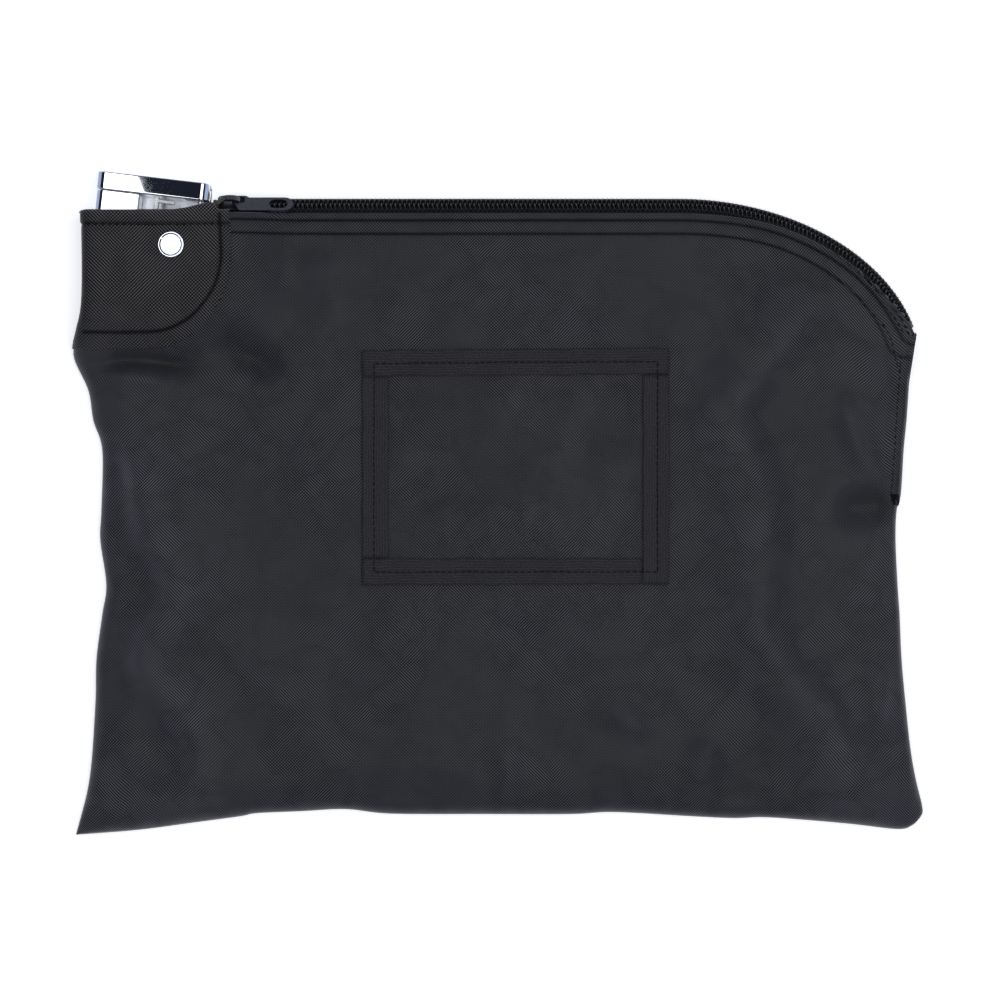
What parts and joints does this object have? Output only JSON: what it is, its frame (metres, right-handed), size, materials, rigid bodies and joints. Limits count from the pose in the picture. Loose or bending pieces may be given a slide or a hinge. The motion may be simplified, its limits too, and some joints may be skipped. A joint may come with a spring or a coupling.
{
  "type": "locking cash deposit bag",
  "caption": "Flat zippered nylon deposit bag with a curved corner, a card window, a riveted corner patch and a push-down key lock that takes the zip slider's tongue.",
  "frame": {"origin": "middle of the footprint, on the surface that the bag lies on", "axes": "+X to the right across the front, +Y towards the zip and the lock, +Z out of the front face"},
  "size_m": [0.38, 0.2942, 0.0216],
  "materials": {
    "nylon": "coated black plain-weave nylon, low sheen",
    "patch_fabric": "heavier black plain-weave nylon reinforcement",
    "clear_film": "clear soft vinyl window",
    "binding_tape": "black woven binding tape, matt",
    "zip_tape": "black woven polyester zip tape",
    "zip_teeth": "black nylon coil, satin",
    "black_metal": "black enamelled zinc, satin",
    "chrome": "bright chrome plate",
    "brass": "machined brass",
    "steel": "plain spring and stamped steel"
  },
  "bodies": {
    "bag": {"front_panel": "nylon", "back_panel": "nylon", "front_corner_patch": "patch_fabric", "back_corner_patch": "patch_fabric", "card_window_film": "clear_film", "card_frame_top": "binding_tape", "card_frame_bottom": "binding_tape", "card_frame_left": "binding_tape", "card_frame_right": "binding_tape", "zipper_tape_front": "zip_tape", "zipper_tape_back": "zip_tape", "zipper_teeth_front": "zip_teeth", "zipper_teeth_back": "zip_teeth", "zipper_top_stop": "black_metal", "zipper_bottom_stop": "black_metal", "lock_housing": "chrome", "lock_back_plate": "chrome", "rivet_front_cap": "chrome", "rivet_back_cap": "chrome", "plunger_spring": "steel"},
    "plunger": {"push_cap": "chrome", "plunger_stem": "chrome", "cylinder_shell": "brass", "latch_bracket": "steel", "locking_pin": "steel", "driver_pin_1": "brass", "driver_pin_2": "brass", "driver_pin_3": "brass", "driver_pin_4": "brass", "driver_pin_5": "brass", "pin_spring_1": "steel", "pin_spring_2": "steel", "pin_spring_3": "steel", "pin_spring_4": "steel", "pin_spring_5": "steel"},
    "key_plug": {"key_plug": "brass", "plug_cam": "steel", "key_pin_1": "brass", "key_pin_2": "brass", "key_pin_3": "brass", "key_pin_4": "brass", "key_pin_5": "brass"},
    "latch_bolt": {"latch_bolt": "steel"},
    "slider": {"slider_body": "black_metal"},
    "pull": {"pull_tab": "black_metal"}
  },
  "joints": [
    {"name": "plunger_press", "type": "slide", "parent": "bag", "child": "plunger", "axis": [-0.1149, -0.9934, 0], "range_m": [0, 0.0065], "stiffness_N_per_m": 300, "springref_m": -0.004, "deforming": ["plunger_spring"]},
    {"name": "key_turn", "type": "hinge", "parent": "plunger", "child": "key_plug", "pos_m": [-0.16831, 0.14606, 0.0099], "axis": [0.1149, 0.9934, 0], "range_deg": [0, 90]},
    {"name": "latch_throw", "type": "slide", "parent": "plunger", "child": "latch_bolt", "axis": [0.9934, -0.1149, 0], "range_m": [0, 0.0017]},
    {"name": "zipper_slide", "type": "slide", "parent": "bag", "child": "slider", "axis": [1, 0, 0], "range_m": [0, 0.19]},
    {"name": "pull_swing", "type": "hinge", "parent": "slider", "child": "pull", "pos_m": [-0.11682, 0.13395, 0.01011], "axis": [0, -0.766, 0.6428], "range_deg": [0, 110]}
  ],
  "couplings": [
    {"joint": "latch_throw", "follows": "plunger_press", "ratio": 0.25}
  ]
}
